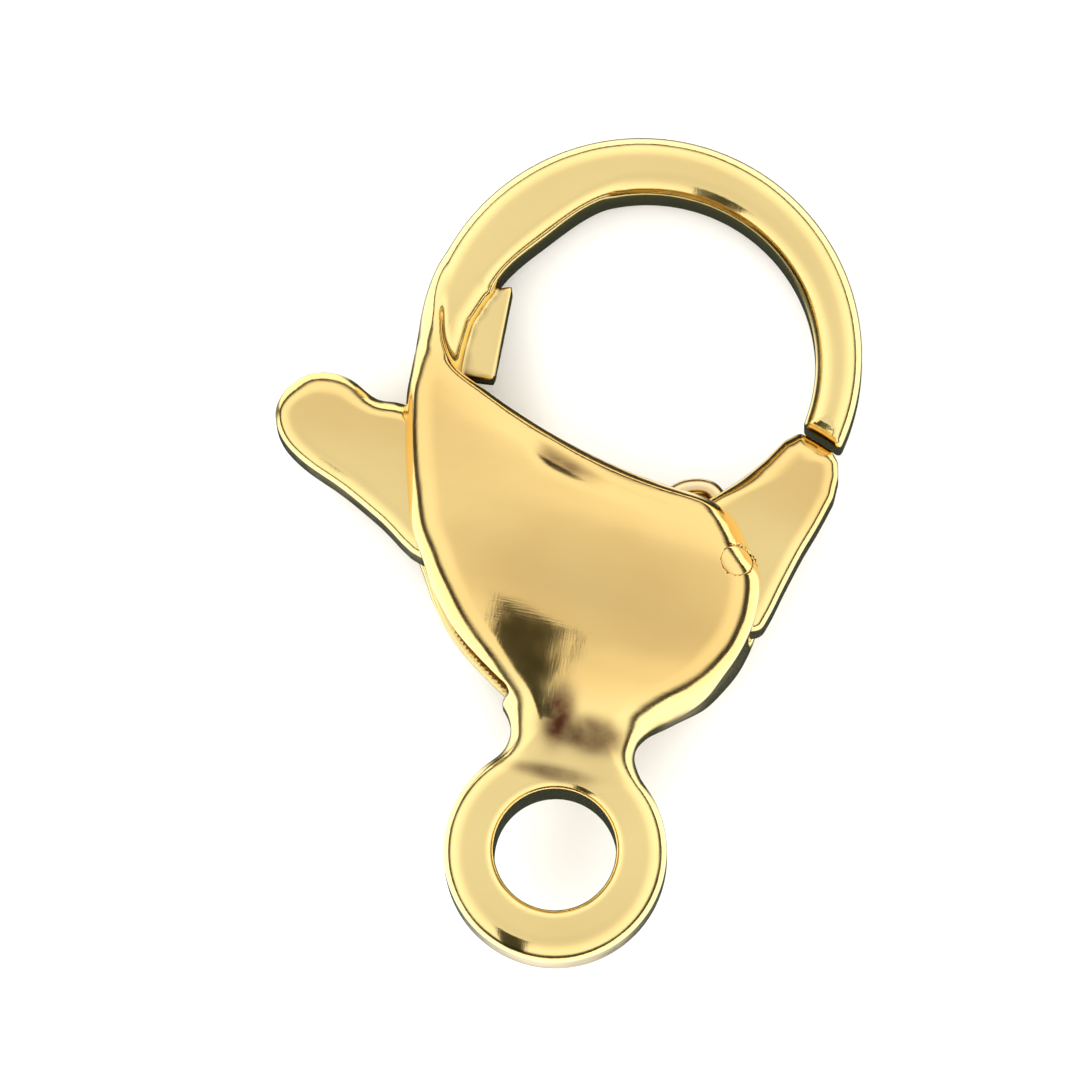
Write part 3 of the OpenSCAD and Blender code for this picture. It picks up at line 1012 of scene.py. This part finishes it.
def mirrored_floor():
    """The floor that the metal mirrors: pale round the clasp, with deep shade painted close to it."""
    x = np.linspace(cad_low.x - SHEET_PAST, cad_high.x + SHEET_PAST, SHEET_CELLS[0] + 1)
    y = np.linspace(cad_low.y - SHEET_PAST, cad_high.y + SHEET_PAST, SHEET_CELLS[1] + 1)
    grid = np.stack(np.meshgrid(x, y, indexing="ij"), axis=-1).reshape(-1, 2)
    flat = grid / MM / [1, math.cos(REST_TILT)]
    layers = body_map.read(flat)
    away = np.maximum(layers[SIDES], layers[MOUTH])
    away = np.minimum(away, from_centre(flat[:, 0], flat[:, 1], (0, 0)) - RING_D / 2)
    away = np.minimum(away, gate_map.read(flat - PIVOT)[0])
    away = np.minimum(away, hook_plan(flat[:, 0], flat[:, 1], layers[POCKET]))
    towards = (flat - HOOK_C) @ [math.cos(SHADE_SIDE), math.sin(SHADE_SIDE)]
    inside = from_centre(flat[:, 0], flat[:, 1], HOOK_C) - HOOK_D / 2
    away = np.minimum(away, np.maximum(inside, SHADE_SIDE_FROM - towards))
    number = np.arange(len(grid)).reshape(len(x), len(y))
    quads = np.stack([number[:-1, :-1], number[1:, :-1], number[1:, 1:], number[:-1, 1:]], axis=-1)
    mesh = bpy.data.meshes.new("near_floor")
    points = np.column_stack([grid, np.full(len(grid), floor_z + SHEET_LIFT)])
    mesh.from_pydata(points.tolist(), [], quads.reshape(-1, 4).tolist())
    made = link_object("near_floor", mesh)
    add_trait(made, "light", ease(away, *SHADE_ENDS))
    material = stage_material("near_floor", rgb(1, 1, 1))
    tree = material.node_tree
    # Painted shade: near black close to the metal, pale further off.
    colour = mix_colours(tree, trait(tree, "light"), rgb(0.03, 0.04, 0.035), rgb(0.9, 0.9, 0.88))
    tree.links.new(colour, tree.nodes["Principled BSDF"].inputs["Base Color"])
    mesh.materials.append(material)
    made.visible_camera = False
    made.visible_diffuse = False
    made.visible_shadow = False


floor_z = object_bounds()[0].z
centre = (cad_low + cad_high) / 2
floor = card("floor", (0, 0, floor_z), (2.0, 2.0), (0, 0, floor_z + 1), rgb(0.95, 0.95, 0.94))
floor.visible_glossy = False
mirrored_floor()
dark_card = card("dark_card", (-0.070, -0.2, 0.11), (0.07, 0.34), centre, rgb(0.03, 0.03, 0.015), -8)
dark_card.visible_camera = False


# Light

# Brightness of the surroundings at shares of the way from straight below to straight above
SKY = [(0.48, 0.04), (0.53, 0.45), (0.58, 0.8), (0.75, 0.8), (0.86, 0.7), (0.94, 0.58)]
BELOW = rgb(0.035, 0.045, 0.04)
ABOVE = rgb(0.52, 0.52, 0.52)


def area_light(name, place, size, power, colour):
    """A lamp that the metal doesn't mirror."""
    data = bpy.data.lights.new(name, "AREA")
    data.shape = "RECTANGLE"
    data.size, data.size_y = size
    data.energy = power
    data.color = colour
    made = link_object(name, data)
    made.location = place
    made.rotation_mode = "QUATERNION"
    made.rotation_quaternion = facing(place, centre, "-Z", "Y")
    made.visible_glossy = False


def surroundings():
    """The studio that the metal mirrors, dark below the horizon and pale above it."""
    world = bpy.data.worlds.new("studio")
    bpy.context.scene.world = world
    world.use_nodes = True
    tree = world.node_tree
    split = node(tree, "ShaderNodeSeparateXYZ")
    tree.links.new(node(tree, "ShaderNodeTexCoord").outputs["Generated"], split.inputs[0])
    ramp = node(tree, "ShaderNodeValToRGB")
    tree.links.new(remap(tree, split.outputs["Z"], (-1, 1), (0, 1)), ramp.inputs["Fac"])
    stops = ramp.color_ramp.elements
    stops[0].position = 0.0
    stops[0].color = BELOW
    stops[1].position = 1.0
    stops[1].color = ABOVE
    for share, level in SKY:
        stops.new(share).color = rgb(level, level, 0.97 * level)
    background = tree.nodes["Background"]
    tree.links.new(ramp.outputs["Color"], background.inputs["Color"])
    background.inputs["Strength"].default_value = 1.6


area_light("key", (-0.3, 0.35, 0.55), (0.3, 0.25), 1.2, (1.0, 0.98, 0.95))
area_light("overhead", (0, 0, 0.9), (1.2, 1.2), 9.0, (1.0, 1.0, 1.0))
surroundings()


# Camera

VIEW_FROM = math.radians(-1)
VIEW_SIDE = math.radians(2.5)
VIEW_ROLL = math.radians(11)
LENS = 700
SENSOR = 36
FRAME_WIDTH = 0.0155

camera = link_object("camera", bpy.data.cameras.new("camera"))
bpy.context.scene.camera = camera
look = Matrix.Rotation(VIEW_SIDE, 3, "Y") @ Matrix.Rotation(VIEW_FROM, 3, "X")
camera.rotation_mode = "QUATERNION"
camera.rotation_quaternion = (look @ Matrix.Rotation(VIEW_ROLL, 3, "Z")).to_quaternion()
camera.location = centre + look @ Vector((0, 0, FRAME_WIDTH * LENS / SENSOR))
camera.data.lens = LENS
camera.data.sensor_width = SENSOR
camera.data.clip_start = 0.005
camera.data.clip_end = 5

bpy.context.scene.view_settings.view_transform = "Standard"
